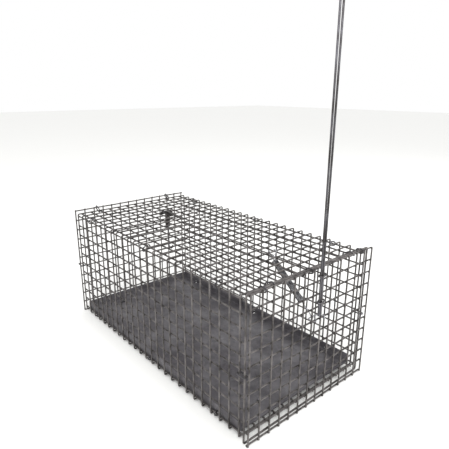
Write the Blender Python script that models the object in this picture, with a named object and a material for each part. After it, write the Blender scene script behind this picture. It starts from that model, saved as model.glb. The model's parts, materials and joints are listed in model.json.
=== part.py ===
"""Live catch trap: a welded wire mesh box with a sprung door, its lever rod and a bait trigger.

Metres, +Z up. The door is at -Y and the rear panel at +Y. Along the trap, places are given as a
distance behind the front frame, and along() turns them into the object's own Y.
"""

from math import cos, pi, radians, sin, sqrt

import bmesh
import bpy
from mathutils import Matrix, Vector
from mathutils.geometry import convex_hull_2d

MM = 0.001

# Welded mesh
PITCH = 12.7 * MM  # half-inch mesh
WIRE = 1.6 * MM  # diameter of its galvanised wire
PANEL_COLS, PANEL_ROWS = 13, 11  # cells of the rear panel and of the door
BODY_CELLS = 24  # along the roof, the floor and the sides
BODY_COLS, BODY_ROWS = PANEL_COLS - 1, PANEL_ROWS - 1
WELD_REPEAT, WELD_STEPS = 8, (0, 3)  # of each 8 crossings along a wire, these have a nugget
END_GAP = 1.35 * MM  # from the long wires' ends to the middles of the panels' nearest wires

# Frame, floor plate and rings
FRAME_WIRE = 1.8 * MM
PLATE = 0.8 * MM  # thickness of the floor plate
PLATE_FRONT = 8.0 * MM  # behind the front frame
PLATE_RIM = 9.5 * MM  # height of the edges folded up along its sides and its back
RING_WIRE = 1.4 * MM
SEAM_RING_CELLS = {"front": 3, "middle": BODY_CELLS // 2, "rear": BODY_CELLS - 2}
PANEL_RING_COL = BODY_COLS / 2 - 1.75  # cells either side of the middle
PANEL_RING_ROW = BODY_ROWS / 2 + 0.25  # cells above the ground
PLATE_CLIP_CELLS = {"front": 2, "rear": BODY_CELLS - 1}
PLATE_CLIP_COL = 3  # long wires either side of the middle that hold the plate

# Door and rod
DOOR_LIFT = 0.6 * MM  # the shut door hangs this far above the ground
ROD_WIRE = 1.8 * MM
ROD_X = 1.5 * MM
ROD_FOOT_ROW = PANEL_ROWS - 3.5  # the hairpin's bend, in cells up the door
ROD_CLIP_ROWS = {"lower": PANEL_ROWS - 2.5, "upper": PANEL_ROWS - 0.5}
ROD_FOOT_HALF, ROD_TIP_HALF = 1.25 * MM, 2.15 * MM  # half the spacing of its wires
HINGE_RING_COLS = {"left": 1.25 - PANEL_COLS / 2, "middle": -0.75, "right": PANEL_COLS / 2 - 1.25}

# Spring
SPRING_X = PITCH / 2
SPRING_CELL = 4  # the body cross wire that the hanger is on
SPRING_ROW = PANEL_ROWS - 4  # the door wire that the bail is on
HANGER_DROP, HANGER_HALF = 5.0 * MM, 4.0 * MM
BAIL_REACH, BAIL_DROP, BAIL_HALF = 8.0 * MM, 1.7 * MM, 6.0 * MM
BAIL_WIRE = 1.2 * MM
SPRING_WIRE = 1.0 * MM
COIL_R = 2.7 * MM  # to the middle of the wire
COIL_SIDES = 8  # straight runs in each turn
COIL_TURNS = 17
UPPER_SHANK, LOWER_SHANK = 4.5 * MM, 18.0 * MM  # from each hook's middle to the coil
DRAW = 10.0 * MM  # how far the lower hook's shank reaches into the coil

# Trigger
TRIGGER_CELL = BODY_CELLS - 6  # it stands in the body cell behind this cross wire
PIVOT_LIFT = 1.5 * MM  # above the roof's cross wires
PIN = 2.0 * MM
SHEET = 1.0 * MM  # thickness of the bracket and the latch
LATCH_W = 6.5 * MM
ARM_W = 3.5 * MM  # of the latch's arm, along the edge nearest the rod
LATCH_REACH = 38.0 * MM
LATCH_DROP = 20.0 * MM
LATCH_HOLD = 6.0 * MM  # of the rod's tips, under the latch when the door is open
BARREL = 4.4 * MM
BAIT_WIRE = 1.6 * MM
BAIT_DROP = 47.6 * MM  # from the latch's pivot to the bait hook's lowest point
BAIT_R = 4.0 * MM

# Clearances
GAP = 0.3 * MM  # between pieces that touch
SEAM_GAP = 0.35 * MM
RUN = 0.06 * MM  # radial, in the latch's pivot

# Worked out from the sizes above
BAR = WIRE * sqrt(pi) / 2  # square section with the area of the round wire
FRAME_BAR = FRAME_WIRE * sqrt(pi) / 2
RING_BAR = RING_WIRE * sqrt(pi) / 2
CORNER = BAR / sqrt(2)  # from a bar's middle to its corner
FRAME_CORNER = FRAME_BAR / sqrt(2)
BODY_L = BODY_CELLS * PITCH
REAR = BODY_L + PITCH  # the rear panel's inner wires, behind the front frame
PANEL_HALF = PANEL_COLS * PITCH / 2
PANEL_LOW = BAR / 2
PANEL_TOP = PANEL_LOW + PANEL_ROWS * PITCH
BODY_HALF = BODY_COLS * PITCH / 2
SIDE_X = PANEL_HALF - WIRE  # the sides' long wires: their uprights line up with the panels' edges
SEAM_STEP = BAR + SEAM_GAP
MID_Z = (PANEL_LOW + PANEL_TOP) / 2
SIDE_LOW = MID_Z - BODY_ROWS * PITCH / 2
SIDE_TOP = MID_Z + BODY_ROWS * PITCH / 2
ROOF_Z, FLOOR_Z = SIDE_TOP + SEAM_STEP, SIDE_LOW - SEAM_STEP  # their long wires
ROOF_CROSS_Z, FLOOR_CROSS_Z = ROOF_Z + WIRE, FLOOR_Z - WIRE
ROOF_OUT = ROOF_CROSS_Z + BAR / 2
FIRST = PITCH / 2  # the body's first cross wire, behind the front frame
HINGE_Y = -(FRAME_CORNER + GAP + RING_BAR + GAP + BAR / 2)
HINGE_Z = PANEL_TOP + DOOR_LIFT
DOOR_LOW = HINGE_Z - PANEL_ROWS * PITCH
ROD_Y = HINGE_Y - WIRE - BAR / 2 - SEAM_GAP - ROD_WIRE / 2
PIVOT_Y, PIVOT_Z = (TRIGGER_CELL + 1) * PITCH, ROOF_OUT + PIVOT_LIFT
ROD_FOOT = DOOR_LOW + ROD_FOOT_ROW * PITCH
ROD_TIP = HINGE_Z + PIVOT_Y - HINGE_Y - LATCH_REACH + LATCH_HOLD
FRONT_END = ROD_Y - ROD_WIRE / 2 - GAP - RING_BAR
BACK_END = REAR + WIRE + CORNER + GAP + RING_BAR
SHIFT = -(FRONT_END + BACK_END) / 2


def along(distance):
    return distance + SHIFT


def clear_scene():
    for obj in list(bpy.data.objects):
        bpy.data.objects.remove(obj, do_unlink=True)


def material(name, colour, roughness, metallic):
    mat = bpy.data.materials.new(name)
    mat.use_nodes = True
    shader = mat.node_tree.nodes["Principled BSDF"]
    shader.inputs["Base Color"].default_value = (*colour, 1)
    shader.inputs["Roughness"].default_value = roughness
    shader.inputs["Metallic"].default_value = metallic
    return mat


def finish_object(bm, name, mat, origin=(0, 0, 0)):
    """A node from a bmesh that is in world coordinates, with its origin at the given point."""
    bmesh.ops.recalc_face_normals(bm, faces=bm.faces)
    bmesh.ops.translate(bm, verts=bm.verts, vec=-Vector(origin))
    mesh = bpy.data.meshes.new(name)
    bm.to_mesh(mesh)
    bm.free()
    obj = bpy.data.objects.new(name, mesh)
    obj.location = origin
    mesh.materials.append(mat)
    bpy.context.scene.collection.objects.link(obj)
    return obj


def new_box(name, mat, low, high, origin=(0, 0, 0)):
    bm = bmesh.new()
    bmesh.ops.create_cube(bm, size=1)
    for vert in bm.verts:
        for axis in range(3):
            vert.co[axis] = high[axis] if vert.co[axis] > 0 else low[axis]
    return finish_object(bm, name, mat, origin)


def new_cylinder(name, mat, centre, radius, low_x, high_x, sides=12, origin=(0, 0, 0)):
    """A cylinder along X. centre is (y, z)."""
    bm = bmesh.new()
    turn = Matrix.Rotation(pi / 2, 4, "Y")
    place = Matrix.Translation(((low_x + high_x) / 2, *centre))
    bmesh.ops.create_cone(
        bm, cap_ends=True, segments=sides, radius1=radius, radius2=radius,
        depth=high_x - low_x, matrix=place @ turn,
    )
    return finish_object(bm, name, mat, origin)


def combine(target, other, operation):
    """Joins other to target, or cuts it from target. A cutter stays as a hidden wire object."""
    modifier = target.modifiers.new(operation.lower(), "BOOLEAN")
    modifier.operation = operation
    modifier.solver = "EXACT"
    modifier.object = other
    other.hide_render = True
    other.display_type = "WIRE"


def sweep(bm, points, radius, sides, closed=False):
    """A tube along points, with the frame carried along without twist."""
    points = [Vector(p) for p in points]
    count = len(points)
    steps = [(points[(i + 1) % count] - points[i]).normalized() for i in range(count)]
    if not closed:
        steps[-1] = steps[-2]
    first = steps[0]
    side = first.orthogonal().normalized()
    if abs(first.x) < 0.9:
        side = (Vector((1, 0, 0)) - first * first.x).normalized()
    loops = []
    for i, point in enumerate(points):
        before = steps[i - 1] if closed or i else steps[0]
        tangent = (before + steps[i]).normalized()
        side = (side - tangent * side.dot(tangent)).normalized()
        up = tangent.cross(side)
        # A mitre keeps the tube's thickness round a bend.
        bend = steps[i] - before
        stretch = 1 / max(0.3, tangent.dot(steps[i]))
        loop = []
        for k in range(sides):
            angle = 2 * pi * (k + 0.5) / sides
            offset = (side * cos(angle) + up * sin(angle)) * radius
            if bend.length > 1e-6:
                across = bend.normalized()
                offset += across * offset.dot(across) * (stretch - 1)
            loop.append(bm.verts.new(point + offset))
        loops.append(loop)
    pairs = list(zip(loops, loops[1:]))
    if closed:
        pairs.append((loops[-1], loops[0]))
    for a, b in pairs:
        for k in range(sides):
            n = (k + 1) % sides
            bm.faces.new((a[k], a[n], b[n], b[k]))
    if not closed:
        bm.faces.new(loops[0][::-1])
        bm.faces.new(loops[-1])


def new_wire(name, mat, points, diameter, sides=6, origin=(0, 0, 0), closed=False):
    bm = bmesh.new()
    sweep(bm, points, diameter / 2, sides, closed)
    return finish_object(bm, name, mat, origin)


def arc(centre, radius, start, end, steps, plane, level):
    """Points of an arc in a plane, "YZ", "XZ" or "XY", at the level along the third axis."""
    found = []
    for i in range(steps + 1):
        angle = radians(start + (end - start) * i / steps)
        a, b = centre[0] + radius * cos(angle), centre[1] + radius * sin(angle)
        found.append(in_plane(plane, a, b, level))
    return found


def in_plane(plane, a, b, level):
    return {"YZ": (level, a, b), "XZ": (a, level, b), "XY": (a, b, level)}[plane]


def new_ring(name, mat, wires, plane, level, origin=(0, 0, 0)):
    """A ring of wire drawn tight round the wires, each (a, b, corner radius), in a plane."""
    bm = bmesh.new()
    spots = []
    for a, b, radius in wires:
        reach = (radius + GAP + RING_BAR / 2) / cos(pi / 8)
        spots += [
            (a + reach * cos(pi * (k + 0.5) / 4), b + reach * sin(pi * (k + 0.5) / 4))
            for k in range(8)
        ]
    outline = [Vector((*spots[i], 0)) for i in convex_hull_2d(spots)]
    kept = [p for i, p in enumerate(outline) if (p - outline[i - 1]).length > RING_BAR / 2]
    sweep_flat(bm, [in_plane(plane, p.x, p.y, level) for p in kept], plane)
    return finish_object(bm, name, mat, origin)


def sweep_flat(bm, points, plane):
    """A closed square-section tube whose path lies in a plane."""
    normal = Vector(in_plane(plane, 0, 0, 1))
    points = [Vector(p) for p in points]
    count = len(points)
    half = RING_BAR / 2
    loops = []
    for i, point in enumerate(points):
        before = (point - points[i - 1]).normalized()
        after = (points[(i + 1) % count] - point).normalized()
        out = (before + after).normalized().cross(normal)
        out *= half / (before + after).normalized().dot(after)
        up = normal * half
        corners = (out + up, up - out, -out - up, out - up)
        loops.append([bm.verts.new(point + corner) for corner in corners])
    for i in range(count):
        a, b = loops[i - 1], loops[i]
        for k in range(4):
            n = (k + 1) % 4
            bm.faces.new((a[k], a[n], b[n], b[k]))


def mesh_sheet(name, mat, place, near, far, near_span, far_span, origin=(0, 0, 0)):
    """A welded sheet. place(a, b, n) gives the point of the sheet's own coordinates.

    near wires run along a at each b in near, in the layer at n = 0. far wires run along b at each
    a in far, one wire thickness up. Nuggets join the layers at a quarter of the crossings.
    """
    bm = bmesh.new()
    half = BAR / 2
    near_faces, far_faces = {}, {}

    def bar(level, spot, span, crossings, faces, point, open_side):
        """One straight bar, cut at its nuggets. point(t, s, n) places a corner."""
        cuts = [span[0]]
        for _, at in crossings:
            cuts += [at - half, at + half]
        cuts.append(span[1])
        rows = []
        for t in cuts:
            corners = ((-half, -half), (half, -half), (half, half), (-half, half))
            rows.append([bm.verts.new(point(t, spot + s, level + n)) for s, n in corners])
        for step, (a, b) in enumerate(zip(rows, rows[1:])):
            nugget = step % 2 == 1
            for k in range(4):
                n = (k + 1) % 4
                if nugget and k == open_side:
                    faces[crossings[step // 2][0]] = (a[k], a[n], b[n], b[k])
                else:
                    bm.faces.new((a[k], a[n], b[n], b[k]))
        bm.faces.new(rows[0])
        bm.faces.new(rows[-1])

    def welded(i, j):
        return (i + j) % WELD_REPEAT in WELD_STEPS

    for j, b in enumerate(near):
        crossings = [((i, j), a) for i, a in enumerate(far) if welded(i, j)]
        bar(0, b, near_span, crossings, near_faces, lambda t, s, n: place(t, s, n), 2)
    for i, a in enumerate(far):
        crossings = [((i, j), b) for j, b in enumerate(near) if welded(i, j)]
        bar(WIRE, a, far_span, crossings, far_faces, lambda t, s, n: place(s, t, n), 0)
    for key, lower in near_faces.items():
        upper = far_faces[key]
        for k in range(4):
            a, b = lower[k], lower[(k + 1) % 4]
            c = min(upper, key=lambda v: (v.co - b.co).length)
            d = min(upper, key=lambda v: (v.co - a.co).length)
            bm.faces.new((a, b, c, d))
    return finish_object(bm, name, mat, origin)


def lattice(first, cells):
    return [first + i * PITCH for i in range(cells + 1)]


def make_body(zinc):
    """Roof, floor and sides. Their cross wires and uprights line up, one set to a cell."""
    crossing = [along(w) for w in lattice(FIRST, BODY_CELLS)]
    span = (along(END_GAP), along(REAR - END_GAP))
    cols = lattice(-BODY_HALF, BODY_COLS)
    rows = lattice(SIDE_LOW, BODY_ROWS)
    across = SIDE_X + WIRE + BAR / 2
    lift = WIRE - BAR / 2 - SEAM_GAP
    mesh_sheet(
        "roof_mesh", zinc, lambda a, b, n: (b, a, ROOF_Z + n),
        cols, crossing, span, (-across, across),
    )
    mesh_sheet(
        "floor_mesh", zinc, lambda a, b, n: (b, a, FLOOR_Z - n),
        cols, crossing, span, (-across, across),
    )
    for side, name in ((-1, "left_side_mesh"), (1, "right_side_mesh")):
        mesh_sheet(
            name, zinc, lambda a, b, n, side=side: (side * (SIDE_X + n), a, b),
            rows, crossing, span, (FLOOR_Z - lift, ROOF_Z + lift),
        )


def make_rear(zinc):
    mesh_sheet(
        "rear_panel_mesh", zinc, lambda a, b, n: (a, along(REAR + n), b),
        lattice(PANEL_LOW, PANEL_ROWS), lattice(-PANEL_HALF, PANEL_COLS),
        (-PANEL_HALF - BAR / 2, PANEL_HALF + BAR / 2), (0, PANEL_TOP + BAR / 2),
    )


def make_front_frame(zinc):
    bm = bmesh.new()
    low, high = FRAME_BAR / 2, PANEL_TOP
    corners = ((-PANEL_HALF, low), (PANEL_HALF, low), (PANEL_HALF, high), (-PANEL_HALF, high))
    half = FRAME_BAR / 2
    rings = []
    for x, z in corners:
        out_x, out_z = (half if x > 0 else -half), (half if z > MID_Z else -half)
        square = ((out_x, -half, out_z), (-out_x, -half, -out_z),
                  (-out_x, half, -out_z), (out_x, half, out_z))
        rings.append([bm.verts.new((x + a, along(b), z + c)) for a, b, c in square])
    for i in range(4):
        a, b = rings[i - 1], rings[i]
        for k in range(4):
            n = (k + 1) % 4
            bm.faces.new((a[k], a[n], b[n], b[k]))
    finish_object(bm, "front_frame", zinc)


def make_plate(steel):
    """The tray on the floor: its edges are folded up, with slots and holes for the rings."""
    low = FLOOR_Z + BAR / 2 + GAP
    half = SIDE_X - BAR / 2 - SEAM_GAP
    front, back = PLATE_FRONT, FIRST + BODY_L - CORNER - GAP - RING_BAR - SEAM_GAP
    plate = new_box(
        "floor_plate", steel,
        (-half, along(front), low), (half, along(back), low + PLATE_RIM),
    )
    hollow = new_box(
        "cut_tray", steel,
        (PLATE - half, along(front - PLATE), low + PLATE),
        (half - PLATE, along(back - PLATE), low + 2 * PLATE_RIM),
    )
    combine(plate, hollow, "DIFFERENCE")
    ring = CORNER + GAP + RING_BAR + GAP
    for cell in SEAM_RING_CELLS.values():
        for side in (-1, 1):
            ends = sorted((side * (BODY_HALF - ring), side * PANEL_HALF))
            slot = new_box(
                "cut_slot", steel,
                (ends[0], along(cell * PITCH) - RING_BAR, low - PLATE),
                (ends[1], along(cell * PITCH) + RING_BAR, SIDE_LOW + ring),
            )
            combine(plate, slot, "DIFFERENCE")
    reach = CORNER + GAP + RING_BAR / 2
    for cell in PLATE_CLIP_CELLS.values():
        for side in (-1, 1):
            x = side * PLATE_CLIP_COL * PITCH
            for hole in (-reach, reach):
                bm = bmesh.new()
                spot = Matrix.Translation((x + hole, along(cell * PITCH), low + PLATE / 2))
                radius = (RING_BAR / sqrt(2) + GAP) / cos(pi / 8)
                bmesh.ops.create_cone(
                    bm, cap_ends=True, segments=8, radius1=radius, radius2=radius,
                    depth=PLATE * 3, matrix=spot,
                )
                cutter = finish_object(bm, "cut_plate", steel)
                combine(plate, cutter, "DIFFERENCE")
    return low


def make_rings(wire, plate_low):
    """Every ring that is fixed to the cage."""
    for place, cell in SEAM_RING_CELLS.items():
        for side, word in ((-1, "left"), (1, "right")):
            for edge, z, side_z in (("top", ROOF_Z, SIDE_TOP), ("bottom", FLOOR_Z, SIDE_LOW)):
                name = f"seam_ring_{edge}_{word}_{place}"
                wires = ((side * BODY_HALF, z, CORNER), (side * SIDE_X, side_z, CORNER))
                new_ring(name, wire, wires, "XZ", along(cell * PITCH))
    first, last = along(FIRST), along(FIRST + BODY_L)
    for side, word in ((-1, "left"), (1, "right")):
        x = side * PANEL_RING_COL * PITCH
        rear_top = ((last, ROOF_CROSS_Z, CORNER), (along(REAR), PANEL_TOP, CORNER))
        new_ring(f"rear_ring_roof_{word}", wire, rear_top, "YZ", x)
        rear_low = ((last, FLOOR_CROSS_Z, CORNER), (along(REAR), PANEL_LOW + PITCH, CORNER))
        new_ring(f"rear_ring_floor_{word}", wire, rear_low, "YZ", x)
        front_top = ((first, ROOF_CROSS_Z, CORNER), (along(0), PANEL_TOP, FRAME_CORNER))
        new_ring(f"front_ring_roof_{word}", wire, front_top, "YZ", x)
        height = PANEL_LOW + PANEL_RING_ROW * PITCH
        upright = side * (SIDE_X + WIRE)
        rear_side = ((upright, last, CORNER), (side * PANEL_HALF, along(REAR + WIRE), CORNER))
        new_ring(f"rear_ring_side_{word}", wire, rear_side, "XY", height)
        front_side = ((upright, first, CORNER), (side * PANEL_HALF, along(0), FRAME_CORNER))
        new_ring(f"front_ring_side_{word}", wire, front_side, "XY", height)
    for word, col in HINGE_RING_COLS.items():
        wires = ((along(0), PANEL_TOP, FRAME_CORNER), (along(HINGE_Y), HINGE_Z, CORNER))
        new_ring(f"hinge_ring_{word}", wire, wires, "YZ", col * PITCH)
    for place, cell in PLATE_CLIP_CELLS.items():
        for side, word in ((-1, "left"), (1, "right")):
            x = side * PLATE_CLIP_COL * PITCH
            wires = ((x, FLOOR_Z, CORNER), (x, plate_low + PLATE, CORNER - GAP))
            new_ring(f"plate_clip_{word}_{place}", wire, wires, "XZ", along(cell * PITCH))


def make_door(zinc, wire):
    """The door panel, its rod and the two clips that hold the rod. All turn about the top wire."""
    axis = (0, along(HINGE_Y), HINGE_Z)
    mesh_sheet(
        "door_mesh", zinc, lambda a, b, n: (a, along(HINGE_Y - n), b),
        lattice(DOOR_LOW, PANEL_ROWS), lattice(-PANEL_HALF, PANEL_COLS),
        (-PANEL_HALF - BAR / 2, PANEL_HALF + BAR / 2),
        (DOOR_LOW - BAR / 2, HINGE_Z + BAR / 2), axis,
    )
    y = along(ROD_Y)
    bend = ROD_FOOT + ROD_FOOT_HALF
    path = [(ROD_X - ROD_TIP_HALF, y, ROD_TIP)]
    path += arc((ROD_X, bend), ROD_FOOT_HALF, 180, 360, 6, "XZ", y)
    path.append((ROD_X + ROD_TIP_HALF, y, ROD_TIP))
    new_wire("lever_rod", wire, path, ROD_WIRE, 8, axis)
    for place, row in ROD_CLIP_ROWS.items():
        z = DOOR_LOW + row * PITCH
        share = (z - bend) / (ROD_TIP - bend)
        half = ROD_FOOT_HALF + (ROD_TIP_HALF - ROD_FOOT_HALF) * share
        wires = (
            (ROD_X - half, y, ROD_WIRE / 2), (ROD_X + half, y, ROD_WIRE / 2),
            (PITCH / 2, along(HINGE_Y - WIRE), CORNER),
        )
        new_ring(f"rod_clip_{place}", wire, wires, "XY", z, axis)


def bail_path(hook, middle, half, centre_x, start, end):
    """A wire that loops round an X-directed wire at hook, crosses at middle and loops back."""
    radius = CORNER + GAP + BAIL_WIRE / 2
    loop = arc(hook, radius, start, end, 6, "YZ", 0)
    left = [(centre_x - half, p[1], p[2]) for p in loop]
    right = [(centre_x + half, p[1], p[2]) for p in loop]
    bend = BAIL_WIRE
    leg = Vector((left[-1][1] - middle[0], left[-1][2] - middle[1])).normalized() * bend
    turn = [
        (centre_x - half, middle[0] + leg.x, middle[1] + leg.y),
        (centre_x - half + bend * 0.3, middle[0] + leg.x * 0.3, middle[1] + leg.y * 0.3),
        (centre_x - half + bend, *middle),
    ]
    back = [(2 * centre_x - x, y, z) for x, y, z in reversed(turn)]
    return left + turn + back + right[::-1]


def hook_path(eye, toward, length):
    """An open loop round eye, in the YZ plane, and a shank toward the coil."""
    radius = BAIL_WIRE / 2 + GAP + SPRING_WIRE / 2
    line = Vector(toward).normalized()
    across = Vector((-line.y, line.x))
    eye = Vector(eye)
    points = []
    for i in range(9):
        angle = radians(60 + 255 * i / 8)
        points.append(eye + radius * (line * cos(angle) + across * sin(angle)))
    points += [eye + line * radius * 1.9, eye + line * length]
    return [(SPRING_X, p.x, p.y) for p in points]


def make_spring(wire, bright):
    """Hanger, bail, the two hooks, the coil and its end turn, which the lower hook draws out."""
    bar_y, bar_z = along(FIRST + SPRING_CELL * PITCH), ROOF_CROSS_Z
    top = Vector((bar_y, bar_z - HANGER_DROP))
    path = bail_path((bar_y, bar_z), top, HANGER_HALF, SPRING_X, -30, 180)
    new_wire("spring_hanger", wire, path, BAIL_WIRE)
    door_z = DOOR_LOW + SPRING_ROW * PITCH
    low = Vector((along(HINGE_Y + BAIL_REACH), door_z - BAIL_DROP))
    axis = (0, along(HINGE_Y), HINGE_Z)
    path = bail_path((along(HINGE_Y), door_z), low, BAIL_HALF, SPRING_X, 60, 270)
    new_wire("spring_bail", wire, path, BAIL_WIRE, 6, axis)

    line = low - top
    step = line.normalized()
    start = top + step * (UPPER_SHANK + GAP + SPRING_WIRE / 2)
    end = low - step * (LOWER_SHANK + GAP + SPRING_WIRE / 2)
    upper_eye, lower_eye = (SPRING_X, *top), (SPRING_X, *low)
    path = hook_path(top, line, UPPER_SHANK)
    new_wire("spring_hook_upper", bright, path, SPRING_WIRE, 6, upper_eye)
    path = hook_path(low, -line, LOWER_SHANK + DRAW)
    new_wire("spring_hook_lower", bright, path, SPRING_WIRE, 6, lower_eye)
    path = coil_path(start, end - step * (SPRING_WIRE + GAP), COIL_TURNS)
    new_wire("spring_coil", bright, path, SPRING_WIRE, 4, upper_eye)
    path = coil_path(end, end, 1, step)[:-1]
    new_wire("spring_end_turn", bright, path, SPRING_WIRE, 6, lower_eye, True)


def coil_path(start, end, turns, line=None):
    """A helix round the line from start to end, both (y, z). Without length it is a circle."""
    line = Vector((0, *(line or (end - start).normalized())))
    side = Vector((1, 0, 0))
    other = line.cross(side)
    points = []
    for i in range(turns * COIL_SIDES + 1):
        centre = Vector((SPRING_X, *start.lerp(end, i / (turns * COIL_SIDES))))
        angle = 2 * pi * i / COIL_SIDES
        points.append(centre + COIL_R * (side * cos(angle) + other * sin(angle)))
    return points


def make_trigger(steel, wire):
    """Bracket and pin on the roof, and the latch that turns on the pin with its bait hook."""
    y, z = along(PIVOT_Y), PIVOT_Z
    mid_x = PITCH / 2
    base_low = ROOF_OUT + GAP
    window = PITCH / 2 - BAR / 2
    ear_half = LATCH_W / 2 + GAP + SHEET
    level = base_low + SHEET / 2
    under = ROOF_CROSS_Z - BAR / 2 - GAP - SHEET / 2
    fold = PITCH / 2 + BAR / 2 + GAP + SHEET / 2
    saddle = (
        (y - PITCH / 2, under), (y - fold, under), (y - fold, level),
        (y + fold, level), (y + fold, under), (y + PITCH / 2, under),
    )
    bracket = new_strip("trigger_bracket", steel, saddle, mid_x - ear_half, mid_x + ear_half)
    hole = new_box(
        "cut_window", steel,
        (mid_x - LATCH_W / 2 - GAP, y - window, base_low - SHEET),
        (mid_x + LATCH_W / 2 + GAP, y + window, base_low + 3 * SHEET),
    )
    combine(bracket, hole, "DIFFERENCE")
    for side in (-1, 1):
        inner = mid_x + side * (LATCH_W / 2 + GAP)
        outer = inner + side * SHEET
        plate = new_box(
            "join_ear", steel,
            (min(inner, outer), y - BARREL, level),
            (max(inner, outer), y + BARREL, z + PIN),
        )
        combine(bracket, plate, "UNION")
    bore = (PIN / 2 + RUN) / cos(pi / 12)
    drill = new_cylinder("cut_pin", steel, (y, z), bore, mid_x - PITCH, mid_x + PITCH)
    combine(bracket, drill, "DIFFERENCE")
    pin = new_cylinder(
        "trigger_pin", wire, (y, z), PIN / 2, mid_x - ear_half - SHEET,
        mid_x + ear_half + SHEET,
    )
    head = new_cylinder(
        "join_head", wire, (y, z), PIN * 0.9, mid_x + ear_half + GAP,
        mid_x + ear_half + GAP + SHEET,
    )
    combine(pin, head, "UNION")

    low_x, high_x = mid_x - LATCH_W / 2, mid_x + LATCH_W / 2
    pivot = (mid_x, y, z)
    latch = new_cylinder("trigger_latch", steel, (y, z), BARREL / 2, low_x, high_x, 16, pivot)
    rest = ROOF_OUT + GAP + SHEET / 2
    top = z + BARREL / 2 - SHEET / 2
    slope = (top - rest) / (2.5 * PITCH)
    tip = (y - LATCH_REACH, top - slope * LATCH_REACH)
    arm_path = ((y, top), tip, (tip[0] - 3 * MM, tip[1] + 2.2 * MM))
    arm = new_strip("join_arm", steel, arm_path, low_x, low_x + ARM_W)
    combine(latch, arm, "UNION")
    foot = z - LATCH_DROP
    leg = new_strip("join_leg", steel, ((y, z - PIN * 0.8), (y, foot)), low_x, high_x)
    combine(latch, leg, "UNION")
    drill = new_cylinder("cut_barrel", steel, (y, z), bore, mid_x - PITCH, mid_x + PITCH)
    combine(latch, drill, "DIFFERENCE")
    eye = foot + 3 * MM
    bm = bmesh.new()
    reach = (BAIT_WIRE / 2 + GAP) / cos(pi / 12)
    place = Matrix.Translation((mid_x, y, eye)) @ Matrix.Rotation(pi / 2, 4, "X")
    bmesh.ops.create_cone(
        bm, cap_ends=True, segments=12, radius1=reach, radius2=reach, depth=6 * SHEET,
        matrix=place,
    )
    combine(latch, finish_object(bm, "cut_eye", steel), "DIFFERENCE")

    off = SHEET / 2 + GAP + BAIT_WIRE / 2
    shank = z - BAIT_DROP + BAIT_R
    path = [
        (y + off, eye + 2 * BAIT_WIRE), (y + off, eye + 0.5 * BAIT_WIRE),
        (y + off * 0.55, eye), (y - off * 0.55, eye), (y - off, eye - 0.5 * BAIT_WIRE),
        (y - off, shank),
    ]
    path = [(mid_x, a, b) for a, b in path]
    path += arc((y - off - BAIT_R, shank), BAIT_R, -18, -200, 8, "YZ", mid_x)
    new_wire("bait_hook", wire, path, BAIT_WIRE, 8, pivot)


def new_strip(name, mat, path, low_x, high_x):
    """Sheet metal bent along a (y, z) path, from low_x to high_x."""
    bm = bmesh.new()
    half = SHEET / 2
    points = [Vector(p) for p in path]
    rows = []
    for i, point in enumerate(points):
        before = (point - points[max(i - 1, 0)]) if i else points[1] - point
        after = (points[i + 1] - point) if i + 1 < len(points) else before
        tangent = (before.normalized() + after.normalized()).normalized()
        out = Vector((-tangent.y, tangent.x)) * half / tangent.dot(after.normalized())
        corners = ((low_x, out), (high_x, out), (high_x, -out), (low_x, -out))
        rows.append([bm.verts.new((x, point.x + o.x, point.y + o.y)) for x, o in corners])
    for a, b in zip(rows, rows[1:]):
        for k in range(4):
            n = (k + 1) % 4
            bm.faces.new((a[k], a[n], b[n], b[k]))
    bm.faces.new(rows[0])
    bm.faces.new(rows[-1])
    return finish_object(bm, name, mat)


def main():
    clear_scene()
    zinc = material("galvanised_wire", (0.30, 0.29, 0.29), 0.45, 0.9)
    plain = material("galvanised_rod", (0.36, 0.36, 0.37), 0.35, 0.9)
    bright = material("spring_steel", (0.72, 0.72, 0.73), 0.2, 1.0)
    plate = material("galvanised_sheet", (0.12, 0.115, 0.12), 0.55, 0.8)
    dark = material("dark_steel_sheet", (0.05, 0.05, 0.055), 0.5, 0.7)
    make_body(zinc)
    make_rear(zinc)
    make_front_frame(zinc)
    plate_low = make_plate(plate)
    make_rings(plain, plate_low)
    make_door(zinc, plain)
    make_spring(plain, bright)
    make_trigger(dark, plain)


main()
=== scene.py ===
"""Live catch trap: the finished look of its welded cage, sprung door, lever rod and bait trigger.

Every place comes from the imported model: the boxes of its nodes and the points of its joints.
Metres, +Z up, the door is at -Y and the rear panel at +Y.
"""

import json
from math import cos, pi, radians, sin, tau

import bmesh
import bpy
from bpy.props import FloatProperty, FloatVectorProperty, IntProperty, PointerProperty
from mathutils import Matrix, Vector, noise
from mathutils.geometry import convex_hull_2d, interpolate_bezier


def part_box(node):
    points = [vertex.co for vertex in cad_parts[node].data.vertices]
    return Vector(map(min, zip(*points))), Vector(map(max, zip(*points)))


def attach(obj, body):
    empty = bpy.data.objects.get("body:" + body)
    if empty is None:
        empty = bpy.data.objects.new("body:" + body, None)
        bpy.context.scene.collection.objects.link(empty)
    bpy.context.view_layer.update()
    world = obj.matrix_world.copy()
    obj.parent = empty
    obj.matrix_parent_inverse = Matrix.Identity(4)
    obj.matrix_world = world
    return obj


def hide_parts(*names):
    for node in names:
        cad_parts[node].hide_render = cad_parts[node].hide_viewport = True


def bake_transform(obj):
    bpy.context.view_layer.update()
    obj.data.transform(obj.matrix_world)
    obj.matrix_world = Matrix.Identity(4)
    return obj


bl_info = {
    "name": "Live catch trap",
    "version": (1, 0, 0),
    "blender": (4, 5, 0),
    "location": "View3D > Sidebar > Trap",
    "description": "Builds the finished pieces of a wire live catch trap round its packed model",
    "category": "Object",
}

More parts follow.
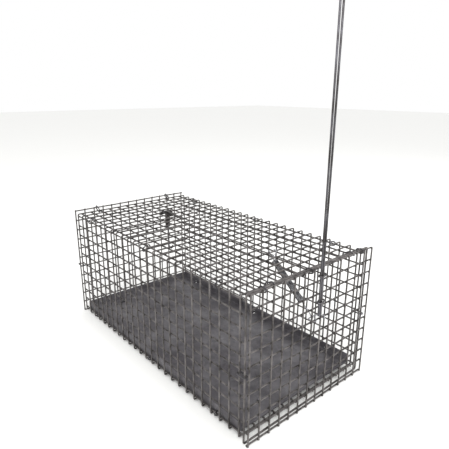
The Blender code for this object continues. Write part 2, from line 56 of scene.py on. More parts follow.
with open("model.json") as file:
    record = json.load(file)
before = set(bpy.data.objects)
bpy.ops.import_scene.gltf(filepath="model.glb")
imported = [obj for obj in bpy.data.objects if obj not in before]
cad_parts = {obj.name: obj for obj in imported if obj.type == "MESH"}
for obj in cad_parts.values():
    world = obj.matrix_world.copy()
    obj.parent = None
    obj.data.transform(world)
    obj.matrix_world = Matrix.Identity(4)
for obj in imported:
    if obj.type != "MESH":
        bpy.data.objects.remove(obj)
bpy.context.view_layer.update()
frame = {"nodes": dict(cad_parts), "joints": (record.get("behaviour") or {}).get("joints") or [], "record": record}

MM = 0.001
X, Y, Z = 0, 1, 2
WIRE_SIDES = 10
FINE_SIDES = 8  # for wire under 1.5 mm
THICK_SIDES, ROD_SIDES, PIN_SIDES = 12, 16, 20
JOINTS = {joint["name"]: joint for joint in frame["joints"]}

SMOOTH_ANGLE = radians(42)  # sharper edges than this stay sharp
END_ROUNDING = 0.35  # of a wire's radius, round its cut ends

# A weld's radius as a share of the wire's diameter, and its stretch along and across the sheet
WELD_RADIUS, WELD_SPREAD, WELD_HEIGHT = 0.6, 1.3, 0.95
ZINC_GRAIN = 6  # millimetres, across the grains of the dipped sheet
BROAD_WAVE, SHORT_WAVE = 70, 19  # millimetres, across the waves of the mesh
SHORT_SHARE = 0.4  # of the short waves, beside the broad ones
WAVE_SEED = 1  # Blender's noise starts from the clock unless it is given a seed

# Rings
RING_MERGE = 0.2 * MM  # outline points closer than this are one
RING_BEND = 0.3 * MM
RING_GAP = 0.2  # of the ring's wire, from its seam to each end

# Bends and clearances of the other wires
DOORWAY_BEND, LINK_BEND, BAIT_BEND = 2 * MM, 1.8 * MM, 1.2 * MM
DOORWAY_SEAM = 0.4  # of the way from the middle to the right corner
LINK_GAP, HOOK_GAP, BAIT_GAP = 0.15 * MM, 0.2 * MM, 0.2 * MM
COIL_STEPS = 16  # in each turn

# Trigger and tray
PLATE_ROUNDING, PUNCH_ROUNDING = 0.15 * MM, 0.12 * MM
PIN_RADIUS = 0.95 * MM
HEAD_INSETS = (0.3 * MM, 0.5 * MM)  # of the pin's two heads, from its ends
HEAD_FLATNESS = 0.45
EYE_HEIGHT = 3 * MM  # of the bait hook's eye, above the latch's lowest point
BAIT_CURL = 4 * MM

# Stage: metres and degrees
GROUND_SIZE = 6
CAMERA_PLACE = (-0.2955, -0.3774, 0.2895)
CAMERA_TURN = (73.08, -0.19, -40.69)
CAMERA_SENSOR, CAMERA_LENS = 36, 35.5

# How the outer wires of a sheet end: cut flush, bent over at the folds, or cut short of the folds.
FLUSH, BENT, SHORT = 0, 1, 2
# piece, node, body, way its inner wires run, way its outer wires run, outward axis and sign, ends
SHEETS = (
    ("roof_wires", "roof_mesh", "cage", Y, X, Z, 1, BENT),
    ("floor_wires", "floor_mesh", "cage", Y, X, Z, -1, BENT),
    ("left_side_wires", "left_side_mesh", "cage", Y, Z, X, -1, SHORT),
    ("right_side_wires", "right_side_mesh", "cage", Y, Z, X, 1, SHORT),
    ("rear_panel_wires", "rear_panel_mesh", "cage", X, Z, Y, 1, FLUSH),
    ("door_wires", "door_mesh", "door", X, Z, Y, -1, FLUSH),
)


def linear(code):
    """An sRGB hex colour as a linear RGBA value."""
    channels = [int(code[i : i + 2], 16) / 255 for i in (1, 3, 5)]
    return (*(c / 12.92 if c <= 0.04045 else ((c + 0.055) / 1.055) ** 2.4 for c in channels), 1.0)


def length(name, description, millimetres):
    return FloatProperty(
        name=name, description=description, default=millimetres * MM, min=0.0, precision=5,
        unit="LENGTH", subtype="DISTANCE",
    )


def colour(name, description, code):
    return FloatVectorProperty(
        name=name, description=description, default=linear(code), size=4, min=0.0, max=1.0,
        subtype="COLOR",
    )


class TrapSizes(bpy.types.PropertyGroup):
    """Sizes of the wires and sheets that the finished pieces are drawn with."""

    pitch: length("Mesh pitch", "From one wire of the welded mesh to the next", 12.7)
    wire: length("Mesh wire", "Diameter of the welded mesh's wire", 1.6)
    fold: length("Fold", "How far the roof's and the floor's wires turn down at the folds", 2.6)
    waviness: length("Waviness", "How far the mesh wires stray from straight", 0.3)
    frame_wire: length("Frame wire", "Diameter of the wire round the doorway", 1.8)
    ring_wire: length("Ring wire", "Diameter of the rings that join the sheets", 1.4)
    rod_wire: length("Rod wire", "Diameter of the lever rod's wire", 1.8)
    rod_foot_half: length("Rod foot", "Half the spacing of the rod's wires at its bend", 1.25)
    link_wire: length("Link wire", "Diameter of the wires that the spring hooks on", 1.2)
    hanger_half: length("Hanger half width", "From the spring to the hanger's sides", 4.0)
    bail_half: length("Bail half width", "From the spring to the bail's sides", 6.0)
    spring_wire: length("Spring wire", "Diameter of the spring's wire", 1.0)
    coil_radius: length("Coil radius", "To the middle of the spring's wire", 2.7)
    upper_shank: length("Upper shank", "From the middle of the upper hook to the coil", 4.5)
    lower_shank: length("Lower shank", "From the middle of the lower hook to the coil", 18.0)
    draw: length("Draw", "How far the lower hook reaches into the coil", 10.0)
    bait_wire: length("Bait wire", "Diameter of the bait hook's wire", 1.6)
    sheet: length("Trigger sheet", "Thickness of the bracket's and the latch's sheet", 1.0)
    coil_turns: IntProperty(name="Coil turns", description="Turns of the spring", default=45, min=4)


class TrapColours(bpy.types.PropertyGroup):
    """Colours of the trap's finishes."""

    zinc_clean: colour("Zinc, clean", "Galvanised wire where it is least weathered", "#777372")
    zinc_dull: colour("Zinc, dull", "Galvanised wire where it is most weathered", "#403d3c")
    weld: colour("Weld", "The scorched zinc on the welds", "#332f2d")
    rod: colour("Rod", "Drawn wire of the rod and its clips", "#66656a")
    # Painted highlight: near white on the spring's hooks and links, in place of the highlights on that wire.
    highlight_grey: colour("Highlight grey", "Painted highlight of the spring's hooks and links", "#c4c4c8")
    spring: colour("Spring", "Oiled spring wire where it is cleanest", "#a5a5a8")
    spring_dull: colour("Spring, dull", "Oiled spring wire where it is dullest", "#4d4d50")
    plate_light: colour("Plate, light", "Palest grains of the floor tray", "#6d6b6e")
    plate_dark: colour("Plate, dark", "Darkest grains of the floor tray", "#4d4a4e")
    blackened: colour("Blackened sheet", "The trigger's bracket and latch", "#383635")
    ground: colour("Ground", "The pale floor that the trap stands on", "#f4f4f2")


def sizes():
    return bpy.context.scene.trap_sizes


def colours():
    return bpy.context.scene.trap_colours


# Materials


def add_node(tree, kind, settings=None, links=None):
    """A node with its settings, which are sockets or properties, and its incoming links."""
    node = tree.nodes.new(kind)
    for name, value in (settings or {}).items():
        if name in node.inputs:
            node.inputs[name].default_value = value
        else:
            setattr(node, name, value)
    for name, source in (links or {}).items():
        tree.links.new(source, node.inputs[name])
    return node


def per_mm(millimetres):
    """A texture scale whose features are that many millimetres across."""
    return 1 / (millimetres * MM)


def metal(name, light, dark, metallic, roughness, patch, grain, bump):
    """A metal whose colour wanders between two shades in patches, over a fine grain.

    patch and grain are sizes in millimetres, roughness is its lowest and highest value, and bump
    is the grain's height in millimetres.
    """
    made = bpy.data.materials.get(name)
    if made:
        return made
    made = bpy.data.materials.new(name)
    made.use_nodes = True
    tree = made.node_tree
    shader = tree.nodes["Principled BSDF"]
    shader.inputs["Metallic"].default_value = metallic
    place = add_node(tree, "ShaderNodeTexCoord").outputs["Object"]
    patches = add_node(
        tree, "ShaderNodeTexNoise", {"Scale": per_mm(patch), "Detail": 5.0, "Roughness": 0.62},
        {"Vector": place},
    )
    shades = add_node(tree, "ShaderNodeValToRGB", links={"Fac": patches.outputs["Fac"]})
    low, high = shades.color_ramp.elements
    low.position, low.color = 0.36, dark
    high.position, high.color = 0.64, light
    tree.links.new(shades.outputs["Color"], shader.inputs["Base Color"])
    fine = add_node(
        tree, "ShaderNodeTexNoise", {"Scale": per_mm(grain), "Detail": 3.0}, {"Vector": place}
    )
    sheen = add_node(
        tree, "ShaderNodeMapRange",
        {"From Min": 0.3, "From Max": 0.7, "To Min": roughness[0], "To Max": roughness[1]},
        {"Value": fine.outputs["Fac"]},
    )
    tree.links.new(sheen.outputs["Result"], shader.inputs["Roughness"])
    relief = add_node(
        tree, "ShaderNodeBump", {"Strength": 0.6, "Distance": bump * MM},
        {"Height": fine.outputs["Fac"]},
    )
    tree.links.new(relief.outputs["Normal"], shader.inputs["Normal"])
    return made


def welded_zinc():
    # Galvanised steel, welded into mesh and weathered: dull grey with paler patches.
    shades = colours()
    return metal(
        "galvanised_welded_wire", shades.zinc_clean, shades.zinc_dull, 0.8, (0.42, 0.62), 9, 0.5,
        0.03,
    )


def weld_scale():
    # Zinc burnt by the weld: darker and rougher than the wire beside it.
    shades = colours()
    return metal(
        "scorched_weld", shades.zinc_dull, shades.weld, 0.5, (0.6, 0.8), 3, 0.4, 0.05
    )


def drawn_zinc():
    # Drawn and galvanised wire, smoother than the mesh: soft grey streaks with a clear highlight.
    shades = colours()
    return metal(
        "drawn_galvanised_wire", shades.rod, shades.zinc_dull, 0.9, (0.28, 0.42), 14, 0.6, 0.01
    )


def painted_highlight_wire():
    # Painted highlight: the spring's hooks and links are coloured almost white in place of their highlights, and
    # are very shiny.
    shades = colours()
    return metal(
        "wire_with_painted_highlight", shades.highlight_grey, shades.highlight_grey, 1.0, (0.08, 0.18), 5, 0.4, 0.003
    )


def spring_steel():
    # Oiled and drawn spring wire: dark and shiny, with pale drawing marks.
    shades = colours()
    return metal(
        "oiled_spring_wire", shades.spring, shades.spring_dull, 1.0, (0.08, 0.16), 5, 0.4, 0.003
    )


def blackened_steel():
    # Cold-rolled sheet, blackened and punched: almost black, with greyer rubbed patches.
    shades = colours()
    return metal(
        "blackened_punched_sheet", shades.zinc_dull, shades.blackened, 0.5, (0.5, 0.7), 6, 0.4, 0.02
    )


def spangled_sheet():
    """Hot-dip galvanised sheet in dark greys: flat grains of zinc, each its own grey."""
    name = "spangled_galvanised_sheet"
    made = bpy.data.materials.get(name)
    if made:
        return made
    shades = colours()
    made = metal(name, shades.plate_light, shades.plate_dark, 0.55, (0.5, 0.7), 40, 0.8, 0.01)
    tree = made.node_tree
    shader = tree.nodes["Principled BSDF"]
    place = add_node(tree, "ShaderNodeTexCoord").outputs["Object"]
    grains = add_node(
        tree, "ShaderNodeTexVoronoi", {"Scale": per_mm(ZINC_GRAIN)}, {"Vector": place}
    )
    grey = add_node(tree, "ShaderNodeRGBToBW", links={"Color": grains.outputs["Color"]})
    lift = add_node(
        tree, "ShaderNodeMapRange", {"To Min": 0.8, "To Max": 1.2}, {"Value": grey.outputs["Val"]}
    )
    patches = shader.inputs["Base Color"].links[0].from_socket
    mixed = add_node(
        tree, "ShaderNodeVectorMath", {"operation": "MULTIPLY"},
        {0: patches, 1: lift.outputs["Result"]},
    )
    tree.links.new(mixed.outputs["Vector"], shader.inputs["Base Color"])
    return made


def paper_floor():
    # Matt seamless paper: pale, with no gloss.
    made = bpy.data.materials.new("matt_paper")
    made.use_nodes = True
    shader = made.node_tree.nodes["Principled BSDF"]
    shader.inputs["Base Color"].default_value = colours().ground
    shader.inputs["Roughness"].default_value = 0.9
    return made


# Shapes


def joint_point(name):
    return Vector(JOINTS[name]["pos_m"])


def finish_piece(bm, name, mats, body, nodes):
    """A piece from a bmesh in the trap's own coordinates, riding on its body when that is a name; any other body
    leaves it in place.
    """
    bmesh.ops.recalc_face_normals(bm, faces=bm.faces)
    mesh = bpy.data.meshes.new(name)
    bm.to_mesh(mesh)
    bm.free()
    mesh.shade_smooth()
    mesh.set_sharp_from_angle(angle=SMOOTH_ANGLE)
    for mat in mats:
        mesh.materials.append(mat)
    piece = bpy.data.objects.new(name, mesh)
    bpy.context.scene.collection.objects.link(piece)
    if isinstance(body, str):
        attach(piece, body)
    else:
        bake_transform(piece)
    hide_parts(*nodes)


def wire_places(path):
    """A matrix at each point of a path, with Z along it and no twist from one to the next."""
    steps = [(b - a).normalized() for a, b in zip(path, path[1:])]
    middles = [(a + b).normalized() for a, b in zip(steps, steps[1:])]
    tangents = [steps[0], *middles, steps[-1]]
    turn = Vector((0, 0, 1)).rotation_difference(tangents[0])
    places = []
    for point, before, tangent in zip(path, [tangents[0], *tangents], tangents):
        turn = before.rotation_difference(tangent) @ turn
        places.append(Matrix.Translation(point) @ turn.to_matrix().to_4x4())
    return places


def draw_wire(target, path, radius, sides=WIRE_SIDES):
    """Adds a round wire along a path to target, with its cut ends rounded over."""
    bm = bmesh.new()
    places = wire_places([Vector(point) for point in path])
    made = bmesh.ops.create_circle(
        bm, cap_ends=True, segments=sides, radius=radius, matrix=places[0]
    )
    face = made["verts"][0].link_faces[0]
    for before, place in zip(places, places[1:]):
        made = bmesh.ops.extrude_face_region(bm, geom=[face])["geom"]
        face = next(part for part in made if isinstance(part, bmesh.types.BMFace))
        bmesh.ops.transform(bm, matrix=place @ before.inverted(), verts=face.verts)
    rims = [edge for cap in bm.faces if len(cap.verts) == sides for edge in cap.edges]
    bmesh.ops.bevel(
        bm, geom=rims, offset=radius * END_ROUNDING, segments=2, profile=0.5, affect="EDGES",
        material=-1,
    )
    bmesh.ops.recalc_face_normals(bm, faces=bm.faces)
    part = bpy.data.meshes.new("part")
    bm.to_mesh(part)
    bm.free()
    target.from_mesh(part)
    bpy.data.meshes.remove(part)


def bent(corners, radius):
    """A path through corners, each rounded as wire is when it is bent."""
    corners = [Vector(corner) for corner in corners]
    path = [corners[0]]
    for before, corner, after in zip(corners, corners[1:], corners[2:]):
        into, out = before - corner, after - corner
        reach = min(radius, into.length * 0.49, out.length * 0.49)
        start = corner + into.normalized() * reach
        end = corner + out.normalized() * reach
        path += interpolate_bezier(
            start, start.lerp(corner, 0.55), end.lerp(corner, 0.55), end, 6
        )
    return [*path, corners[-1]]


def yz_arc(x, centre, radius, start, end, steps):
    """Points of an arc in a plane across X, from start to end in degrees."""
    angles = [radians(start + (end - start) * i / steps) for i in range(steps + 1)]
    return [Vector((x, centre.x + radius * cos(a), centre.y + radius * sin(a))) for a in angles]


def nearest(values, target):
    return min(values, key=lambda value: abs(value - target))


def lattice(low, high, margin=0.0):
    """Where the wires of a welded sheet stand between its two edges, less a margin at each."""
    pitch = sizes().pitch
    cells = int((high - low - 2 * margin) / pitch)
    first = (low + high - cells * pitch) / 2
    return [first + i * pitch for i in range(cells + 1)]


def strayed(point):
    """A point of the mesh, moved as the sheets' slight waves move it, but never into the ground."""
    broad = noise.noise_vector(point * per_mm(BROAD_WAVE))
    short = noise.noise_vector(point * per_mm(SHORT_WAVE))
    moved = point + (broad + short * SHORT_SHARE) * sizes().waviness
    moved.z = max(moved.z, sizes().wire / 2)
    return moved


def welded_sheet(bm, node, inner, outer, out, sign, ends):
    """The wires of a sheet and the welds at its crossings. Welds get the second material."""
    low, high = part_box(node)
    wire, fold = sizes().wire, sizes().fold
    middle = (low[out] + high[out]) / 2
    layers = {inner: middle - sign * wire / 2, outer: middle + sign * wire / 2}
    margin = sizes().pitch / 3 if ends == BENT else 0
    spots = {
        inner: lattice(low[inner], high[inner]),
        outer: lattice(low[outer], high[outer], margin),
    }
    for way, across in ((inner, outer), (outer, inner)):
        trim = 0
        if way == outer:
            trim = {FLUSH: 0, BENT: wire / 2, SHORT: fold / 2}[ends]
        stops = [low[way] + trim, *spots[way], high[way] - trim]
        for spot in spots[across]:
            path = []
            for stop in stops:
                point = Vector()
                point[way], point[across], point[out] = stop, spot, layers[way]
                path.append(strayed(point))
            if way == outer and ends == BENT:
                down = Vector()
                down[out] = -sign * fold
                path = bent([path[0] + down, *path, path[-1] + down], fold * 0.8)
            draw_wire(bm, path, wire / 2)
    for a in spots[inner]:
        for b in spots[outer]:
            point = Vector()
            point[inner], point[outer], point[out] = a, b, middle
            flat = Vector((WELD_SPREAD, WELD_SPREAD, WELD_SPREAD))
            flat[out] = WELD_HEIGHT
            place = Matrix.Translation(strayed(point)) @ Matrix.Diagonal((*flat, 1))
            weld = bmesh.ops.create_icosphere(
                bm, subdivisions=1, radius=wire * WELD_RADIUS, matrix=place
            )
            for face in {face for vert in weld["verts"] for face in vert.link_faces}:
                face.material_index = 1


def ring_path(node):
    """The centreline of a CAD ring, rounded, and opened where its two ends meet."""
    low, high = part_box(node)
    spans = high - low
    thin = min((X, Y, Z), key=lambda axis: spans[axis])
    a, b = [axis for axis in (X, Y, Z) if axis != thin]
    spots = [Vector((v.co[a], v.co[b])) for v in frame["nodes"][node].data.vertices]
    bm = bmesh.new()
    for i in convex_hull_2d(spots):
        bm.verts.new((*spots[i], 0))
    bm.faces.new(bm.verts)
    bmesh.ops.remove_doubles(bm, verts=bm.verts, dist=RING_MERGE)
    outline = bm.faces[:][0]
    bmesh.ops.inset_individual(bm, faces=[outline], thickness=spans[thin] / 2)
    rest = [face for face in bm.faces if face != outline]
    bmesh.ops.delete(bm, geom=rest, context="FACES")
    bmesh.ops.bevel(
        bm, geom=list(outline.verts), offset=RING_BEND, segments=2, profile=0.5,
        affect="VERTICES", material=-1,
    )
    corners = [loop.vert.co.copy() for loop in bm.faces[:][0].loops]
    bm.free()
    longest = max(range(len(corners)), key=lambda i: (corners[i] - corners[i - 1]).length)
    corners = corners[longest:] + corners[:longest]
    seam = corners[0].lerp(corners[-1], 0.5)
    gap = (corners[0] - corners[-1]).normalized() * sizes().ring_wire * RING_GAP
    path = []
    for corner in [seam + gap, *corners, seam - gap]:
        point = Vector()
        point[a], point[b], point[thin] = corner.x, corner.y, (low[thin] + high[thin]) / 2
        path.append(point)
    return path


def softened(node, rounding):
    """A copy of a CAD sheet-metal node, with its edges rounded as punching leaves them."""
    bm = bmesh.new()
    bm.from_mesh(frame["nodes"][node].data)
    bmesh.ops.remove_doubles(bm, verts=bm.verts, dist=0.001 * MM)
    bmesh.ops.dissolve_limit(bm, angle_limit=radians(2), verts=bm.verts, edges=bm.edges)
    sharp = [
        edge for edge in bm.edges
        if len(edge.link_faces) == 2 and edge.calc_face_angle() > radians(50)
    ]
    bmesh.ops.bevel(
        bm, geom=sharp, offset=rounding, segments=2, profile=0.5, affect="EDGES", material=-1,
        clamp_overlap=True,
    )
    return bm


def link_path(bar, middle, half, start, end):
    """A wire curled round a bar on both sides of the spring, and straight across under its hook."""
    radius = (sizes().wire + sizes().link_wire) / 2 + LINK_GAP
    x = joint_point("spring_swing").x
    left = yz_arc(x - half, bar, radius, start, end, 12)
    right = yz_arc(x + half, bar, radius, start, end, 12)
    across = [(x - half, *middle), (x + half, *middle)]
    return bent([*left, *across, *reversed(right)], LINK_BEND)


def spring_line():
    """The middles of the spring's two hooks and the way from the upper to the lower."""
    top, low = joint_point("spring_swing"), joint_point("spring_hook_turn")
    return top, low, (low - top).normalized()


def hook_path(eye, line, reach):
    """An open loop round eye, and a shank that runs along line."""
    radius = (sizes().link_wire + sizes().spring_wire) / 2 + HOOK_GAP
    across = Vector((1, 0, 0)).cross(line)
    angles = [radians(50 + 265 * i / 16) for i in range(17)]
    loop = [eye + radius * (line * cos(a) + across * sin(a)) for a in angles]
    return [*loop, eye + line * radius * 2.1, eye + line * reach]


def coil_point(centre, line, angle, radius):
    side = Vector((1, 0, 0))
    return centre + radius * (side * cos(angle) + line.cross(side) * sin(angle))


# Operators


class TRAP_OT_sheets(bpy.types.Operator):
    """Draw the welded sheets of the cage and the door"""

    bl_idname = "trap.sheets"
    bl_label = "Welded Sheets"

    def execute(self, context):
        noise.seed_set(WAVE_SEED)
        for name, node, body, inner, outer, out, sign, ends in SHEETS:
            bm = bmesh.new()
            welded_sheet(bm, node, inner, outer, out, sign, ends)
            mats = [welded_zinc(), weld_scale()]
            finish_piece(bm, name, mats, body, [node])
        return {"FINISHED"}


class TRAP_OT_doorway(bpy.types.Operator):
    """Bend the heavier wire round the doorway and weld its two ends"""

    bl_idname = "trap.doorway"
    bl_label = "Doorway Frame"

    def execute(self, context):
        low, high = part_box("front_frame")
        inset = (high.y - low.y) / 2
        y = (low.y + high.y) / 2
        left, right = low.x + inset, high.x - inset
        bottom, top = low.z + inset, high.z - inset
        seam = (right * DOORWAY_SEAM, y, bottom)
        corners = [
            seam, (right, y, bottom), (right, y, top), (left, y, top), (left, y, bottom), seam,
        ]
        bm = bmesh.new()
        radius = sizes().frame_wire / 2
        draw_wire(bm, bent(corners, DOORWAY_BEND), radius, THICK_SIDES)
        bead = Matrix.Translation(seam) @ Matrix.Diagonal((1.2, 1.0, 1.0, 1))
        bmesh.ops.create_icosphere(bm, subdivisions=2, radius=radius * 1.2, matrix=bead)
        finish_piece(
            bm, "doorway_frame", [welded_zinc()], "cage", ["front_frame"]
        )
        return {"FINISHED"}


class TRAP_OT_floor_plate(bpy.types.Operator):
    """Fold the galvanised tray that lies on the cage's floor"""

    bl_idname = "trap.floor_plate"
    bl_label = "Floor Plate"

    def execute(self, context):
        bm = softened("floor_plate", PLATE_ROUNDING)
        finish_piece(
            bm, "spangled_floor_plate", [spangled_sheet()], "cage",
            ["floor_plate"],
        )
        return {"FINISHED"}


class TRAP_OT_rings(bpy.types.Operator):
    """Close the rings that join the sheets, hang the door and hold the tray and the rod"""

    bl_idname = "trap.rings"
    bl_label = "Rings and Clips"

    def execute(self, context):
        bodies = frame["record"]["behaviour"]["bodies"]
        for body in ("cage", "door"):
            for node in bodies[body]:
                if "_ring_" in node or "_clip_" in node:
                    bm = bmesh.new()
                    draw_wire(bm, ring_path(node), sizes().ring_wire / 2, FINE_SIDES)
                    finish_piece(
                        bm, f"pinched_{node}", [drawn_zinc()], body, [node]
                    )
        return {"FINISHED"}


class TRAP_OT_lever_rod(bpy.types.Operator):
    """Bend the long hairpin on the door, whose tips the latch can hold"""

    bl_idname = "trap.lever_rod"
    bl_label = "Lever Rod"

    def execute(self, context):
        low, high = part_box("lever_rod")
        radius = sizes().rod_wire / 2
        x, y = (low.x + high.x) / 2, (low.y + high.y) / 2
        tip, foot = (high.x - low.x) / 2 - radius, sizes().rod_foot_half
        bend = low.z + radius + foot
        arc = [pi + pi * i / 12 for i in range(13)]
        path = [(x - tip, y, high.z)]
        path += [(x + foot * cos(a), y, bend + foot * sin(a)) for a in arc]
        path += [(x + tip, y, high.z)]
        bm = bmesh.new()
        draw_wire(bm, path, radius, ROD_SIDES)
        finish_piece(bm, "hairpin_rod", [drawn_zinc()], "door", ["lever_rod"])
        return {"FINISHED"}


class TRAP_OT_spring_links(bpy.types.Operator):
    """Bend the wire that the spring hangs from and the wire on the door that it pulls"""

    bl_idname = "trap.spring_links"
    bl_label = "Spring Links"

    def execute(self, context):
        top, low, _ = spring_line()
        size = sizes()
        roof_low, roof_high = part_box("roof_mesh")
        bar = Vector((top.y, (roof_low.z + roof_high.z + size.wire) / 2))
        # Both links are coloured almost white: a painted highlight.
        bm = bmesh.new()
        path = link_path(bar, top.yz, size.hanger_half, -30, 180)
        draw_wire(bm, path, size.link_wire / 2, FINE_SIDES)
        finish_piece(
            bm, "hanger_link", [painted_highlight_wire()], "cage", ["spring_hanger"]
        )
        door_low, door_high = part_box("door_mesh")
        row = nearest(lattice(door_low.z, door_high.z), low.z)
        bar = Vector((joint_point("door_hinge").y, row))
        bm = bmesh.new()
        path = link_path(bar, low.yz, size.bail_half, 60, 270)
        draw_wire(bm, path, size.link_wire / 2, FINE_SIDES)
        finish_piece(
            bm, "door_link", [painted_highlight_wire()], "door", ["spring_bail"]
        )
        return {"FINISHED"}


class TRAP_OT_spring(bpy.types.Operator):
    """Wind the spring, with its end turn and its two hooks"""

    bl_idname = "trap.spring"
    bl_label = "Door Spring"

    def execute(self, context):
        size = sizes()
        top, low, line = spring_line()
        radius = size.spring_wire / 2
        # The hooks are the coil's own wire, coloured almost white as a painted highlight.
        mats, highlight_mats = [spring_steel()], [painted_highlight_wire()]
        start, end = top + line * size.upper_shank, low - line * size.lower_shank
        lead = size.spring_wire * 1.2
        turns = size.coil_turns

        bm = bmesh.new()
        path = hook_path(top, line, size.upper_shank - lead)
        shares = [i / 10 for i in range(1, 11)]
        path += [
            coil_point(
                start - line * lead * (1 - s) ** 2, line, pi * (s - 1), size.coil_radius * s
            )
            for s in shares
        ]
        draw_wire(bm, path, radius, FINE_SIDES)
        finish_piece(
            bm, "upper_hook", highlight_mats, "spring_upper", ["spring_hook_upper"]
        )

        bm = bmesh.new()
        side = Vector((1, 0, 0))
        turn = Vector((0, 0, 1)).rotation_difference(line.cross(side)).to_matrix().to_4x4()
        spot = Matrix.Translation(start + side * size.coil_radius) @ turn
        made = bmesh.ops.create_circle(
            bm, cap_ends=True, segments=FINE_SIDES, radius=radius, matrix=spot
        )
        steps = turns * COIL_STEPS
        bmesh.ops.spin(
            bm, geom=made["verts"][0].link_faces[:], cent=start, axis=line,
            dvec=(end - start) / steps, angle=tau * turns, steps=steps, use_merge=False,
        )
        body = ("spring_upper", "spring_end", start, end)
        finish_piece(bm, "close_wound_coil", mats, body, ["spring_coil"])

        bm = bmesh.new()
        shares = [i / COIL_STEPS for i in range(COIL_STEPS + 1)]
        path = [coil_point(end, line, tau * s, size.coil_radius) for s in shares]
        path += [
            coil_point(
                end + line * size.spring_wire * s, line, pi * s,
                size.coil_radius + (size.spring_wire * 1.1 - size.coil_radius) * s,
            )
            for s in shares[1:]
        ]
        draw_wire(bm, path, radius, FINE_SIDES)
        finish_piece(bm, "end_turn", mats, "spring_end", ["spring_end_turn"])

        bm = bmesh.new()
        draw_wire(bm, hook_path(low, -line, size.lower_shank + size.draw), radius, FINE_SIDES)
        finish_piece(
            bm, "lower_hook", highlight_mats, "spring_lower", ["spring_hook_lower"]
        )
        return {"FINISHED"}


class TRAP_OT_trigger(bpy.types.Operator):
    """Make the trigger's bracket, pin, latch and bait hook"""

    bl_idname = "trap.trigger"
    bl_label = "Bait Trigger"

    def execute(self, context):
        size = sizes()
        dark = [blackened_steel()]
        bm = softened("trigger_bracket", PUNCH_ROUNDING)
        finish_piece(bm, "saddle_bracket", dark, "cage", ["trigger_bracket"])
        bm = softened("trigger_latch", PUNCH_ROUNDING)
        finish_piece(bm, "folded_latch", dark, "latch", ["trigger_latch"])
        pivot = joint_point("trigger_pivot")
        low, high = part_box("trigger_pin")
        bm = bmesh.new()
        path = [(low.x, *pivot.yz), (high.x, *pivot.yz)]
        draw_wire(bm, path, PIN_RADIUS, PIN_SIDES)
        for x in (low.x + HEAD_INSETS[0], high.x - HEAD_INSETS[1]):
            head = Matrix.Translation((x, *pivot.yz)) @ Matrix.Diagonal((HEAD_FLATNESS, 1, 1, 1))
            bmesh.ops.create_uvsphere(
                bm, u_segments=PIN_SIDES, v_segments=10, radius=(high.z - low.z) / 2, matrix=head
            )
        finish_piece(bm, "riveted_pin", [drawn_zinc()], "cage", ["trigger_pin"])

        low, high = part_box("bait_hook")
        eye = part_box("trigger_latch")[0].z + EYE_HEIGHT
        radius = size.bait_wire / 2
        off = size.sheet / 2 + radius + BAIT_GAP
        shank = low.z + radius + BAIT_CURL
        x, y = pivot.x, pivot.y
        corners = [
            (x, y + off, high.z - radius), (x, y + off, eye), (x, y - off, eye), (x, y - off, shank)
        ]
        path = bent(corners, BAIT_BEND)
        path += yz_arc(x, Vector((y - off - BAIT_CURL, shank)), BAIT_CURL, -10, -200, 20)
        bm = bmesh.new()
        draw_wire(bm, path, radius, THICK_SIDES)
        finish_piece(
            bm, "bait_wire_hook", [drawn_zinc()], "latch", ["bait_hook"]
        )
        return {"FINISHED"}


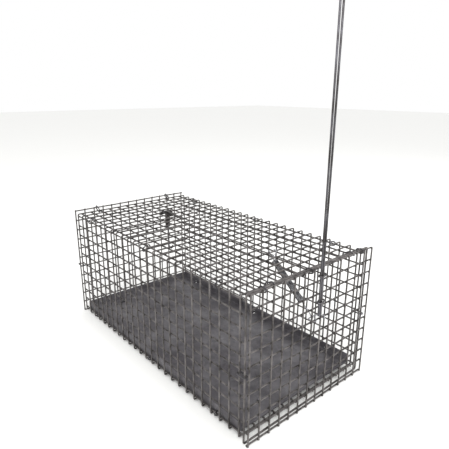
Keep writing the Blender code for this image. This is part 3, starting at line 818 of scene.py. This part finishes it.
class TRAP_OT_stage(bpy.types.Operator):
    """Set the pale floor, the soft lights and the camera"""

    bl_idname = "trap.stage"
    bl_label = "Stage"

    def execute(self, context):
        scene = context.scene
        bm = bmesh.new()
        bmesh.ops.create_grid(bm, x_segments=1, y_segments=1, size=GROUND_SIZE)
        mesh = bpy.data.meshes.new("paper_ground")
        bm.to_mesh(mesh)
        bm.free()
        mesh.materials.append(paper_floor())
        ground = bpy.data.objects.new("paper_ground", mesh)
        scene.collection.objects.link(ground)

        world = bpy.data.worlds.new("soft_room")
        world.use_nodes = True
        scene.world = world
        sky = world.node_tree.nodes["Background"]
        sky.inputs["Color"].default_value = (1, 1, 1, 1)
        sky.inputs["Strength"].default_value = 1.0
        # name, place, what it is aimed at, size, power in watts
        lamps = (
            ("key_softbox", (-0.9, -0.8, 1.3), (0, 0, 0.07), 0.9, 18),
            ("side_softbox", (1.1, -0.5, 0.8), (0, 0, 0.07), 0.8, 6),
        )
        for name, place, aim, size, power in lamps:
            light = bpy.data.lights.new(name, "AREA")
            light.shape = "DISK"
            light.size = size
            light.energy = power
            lamp = bpy.data.objects.new(name, light)
            lamp.location = place
            lamp.rotation_euler = (Vector(aim) - Vector(place)).to_track_quat("-Z", "Y").to_euler()
            scene.collection.objects.link(lamp)

        lens = bpy.data.cameras.new("camera")
        lens.sensor_width = CAMERA_SENSOR
        lens.lens = CAMERA_LENS
        camera = bpy.data.objects.new("camera", lens)
        camera.location = CAMERA_PLACE
        camera.rotation_euler = [radians(turn) for turn in CAMERA_TURN]
        scene.collection.objects.link(camera)
        scene.camera = camera
        scene.view_settings.view_transform = "Standard"
        return {"FINISHED"}


class TRAP_PT_panel(bpy.types.Panel):
    """Lists the trap's sizes, colours and pieces."""

    bl_idname = "TRAP_PT_panel"
    bl_label = "Live Catch Trap"
    bl_space_type = "VIEW_3D"
    bl_region_type = "UI"
    bl_category = "Trap"

    def draw(self, context):
        column = self.layout.column()
        for group in (context.scene.trap_sizes, context.scene.trap_colours):
            for name in group.__annotations__:
                column.prop(group, name)
        for operator in OPERATORS:
            column.operator(operator.bl_idname)


OPERATORS = (
    TRAP_OT_sheets,
    TRAP_OT_doorway,
    TRAP_OT_floor_plate,
    TRAP_OT_rings,
    TRAP_OT_lever_rod,
    TRAP_OT_spring_links,
    TRAP_OT_spring,
    TRAP_OT_trigger,
    TRAP_OT_stage,
)
CLASSES = (TrapSizes, TrapColours, *OPERATORS, TRAP_PT_panel)


def register():
    for cls in CLASSES:
        bpy.utils.register_class(cls)
    bpy.types.Scene.trap_sizes = PointerProperty(type=TrapSizes)
    bpy.types.Scene.trap_colours = PointerProperty(type=TrapColours)


def unregister():
    del bpy.types.Scene.trap_colours
    del bpy.types.Scene.trap_sizes
    for cls in reversed(CLASSES):
        bpy.utils.unregister_class(cls)


def main():
    register()
    bpy.ops.trap.sheets()
    bpy.ops.trap.doorway()
    bpy.ops.trap.floor_plate()
    bpy.ops.trap.rings()
    bpy.ops.trap.lever_rod()
    bpy.ops.trap.spring_links()
    bpy.ops.trap.spring()
    bpy.ops.trap.trigger()
    bpy.ops.trap.stage()


if __name__ == "__main__":
    main()
